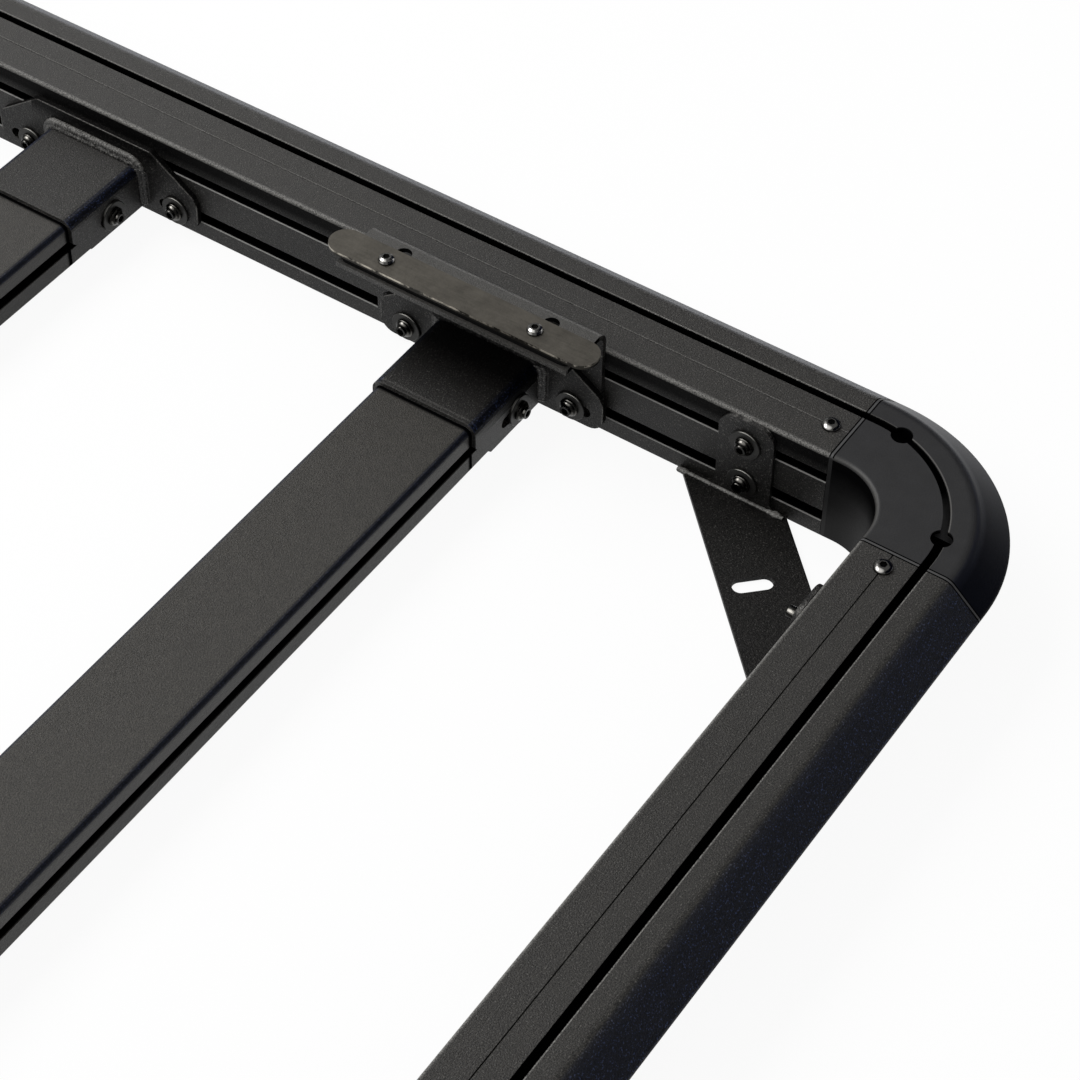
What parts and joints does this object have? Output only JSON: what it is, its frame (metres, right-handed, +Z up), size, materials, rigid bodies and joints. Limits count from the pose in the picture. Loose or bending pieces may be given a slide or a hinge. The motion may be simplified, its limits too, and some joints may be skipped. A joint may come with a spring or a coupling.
{
  "type": "flat platform roof rack",
  "caption": "Flat vehicle roof rack: slotted perimeter rails with a sloped nose, cast corners, cross slats in bolted saddles, corner gussets and clamp feet.",
  "frame": {"origin": "middle of the rack on its deck side, which faces down as in the picture", "axes": "+X across the rack, +Y along the side rails away from the pictured end, +Z up, towards the mounting feet"},
  "size_m": [1.299, 1.7382, 0.0844],
  "materials": {
    "rail_coat": "extruded aluminium in fine-textured black powder coat",
    "slat_coat": "extruded aluminium in fine-textured black powder coat",
    "casting_coat": "cast aluminium in smooth satin black coat",
    "sheet_coat": "steel sheet in grainy black powder coat",
    "gasket_rubber": "matt",
    "pad_rubber": "matt",
    "bar_steel": "bare rolled metal with bright cut edges"
  },
  "bodies": {
    "root": {"side_rail_left": "rail_coat", "side_rail_right": "rail_coat", "front_rail": "rail_coat", "rear_rail": "rail_coat", "corner_front_right": "casting_coat", "corner_front_left": "casting_coat", "corner_rear_right": "casting_coat", "corner_rear_left": "casting_coat", "gaskets_front_right": "gasket_rubber", "gaskets_front_left": "gasket_rubber", "gaskets_rear_right": "gasket_rubber", "gaskets_rear_left": "gasket_rubber", "slat_1": "slat_coat", "slat_2": "slat_coat", "slat_3": "slat_coat", "slat_4": "slat_coat", "slat_5": "slat_coat", "bracket_1_right": "sheet_coat", "bracket_2_right": "sheet_coat", "bracket_3_right": "sheet_coat", "bracket_4_right": "sheet_coat", "bracket_5_right": "sheet_coat", "bracket_1_left": "sheet_coat", "bracket_2_left": "sheet_coat", "bracket_3_left": "sheet_coat", "bracket_4_left": "sheet_coat", "bracket_5_left": "sheet_coat", "gusset_front_right": "sheet_coat", "gusset_front_left": "sheet_coat", "gusset_rear_right": "sheet_coat", "gusset_rear_left": "sheet_coat", "foot_bracket_front_right": "sheet_coat", "foot_bracket_front_left": "sheet_coat", "foot_bracket_rear_right": "sheet_coat", "foot_bracket_rear_left": "sheet_coat", "foot_pad_front_right": "pad_rubber", "foot_pad_front_left": "pad_rubber", "foot_pad_rear_right": "pad_rubber", "foot_pad_rear_left": "pad_rubber", "foot_bar_front_right": "bar_steel", "foot_bar_front_left": "bar_steel", "foot_bar_rear_right": "bar_steel", "foot_bar_rear_left": "bar_steel"}
  },
  "joints": []
}
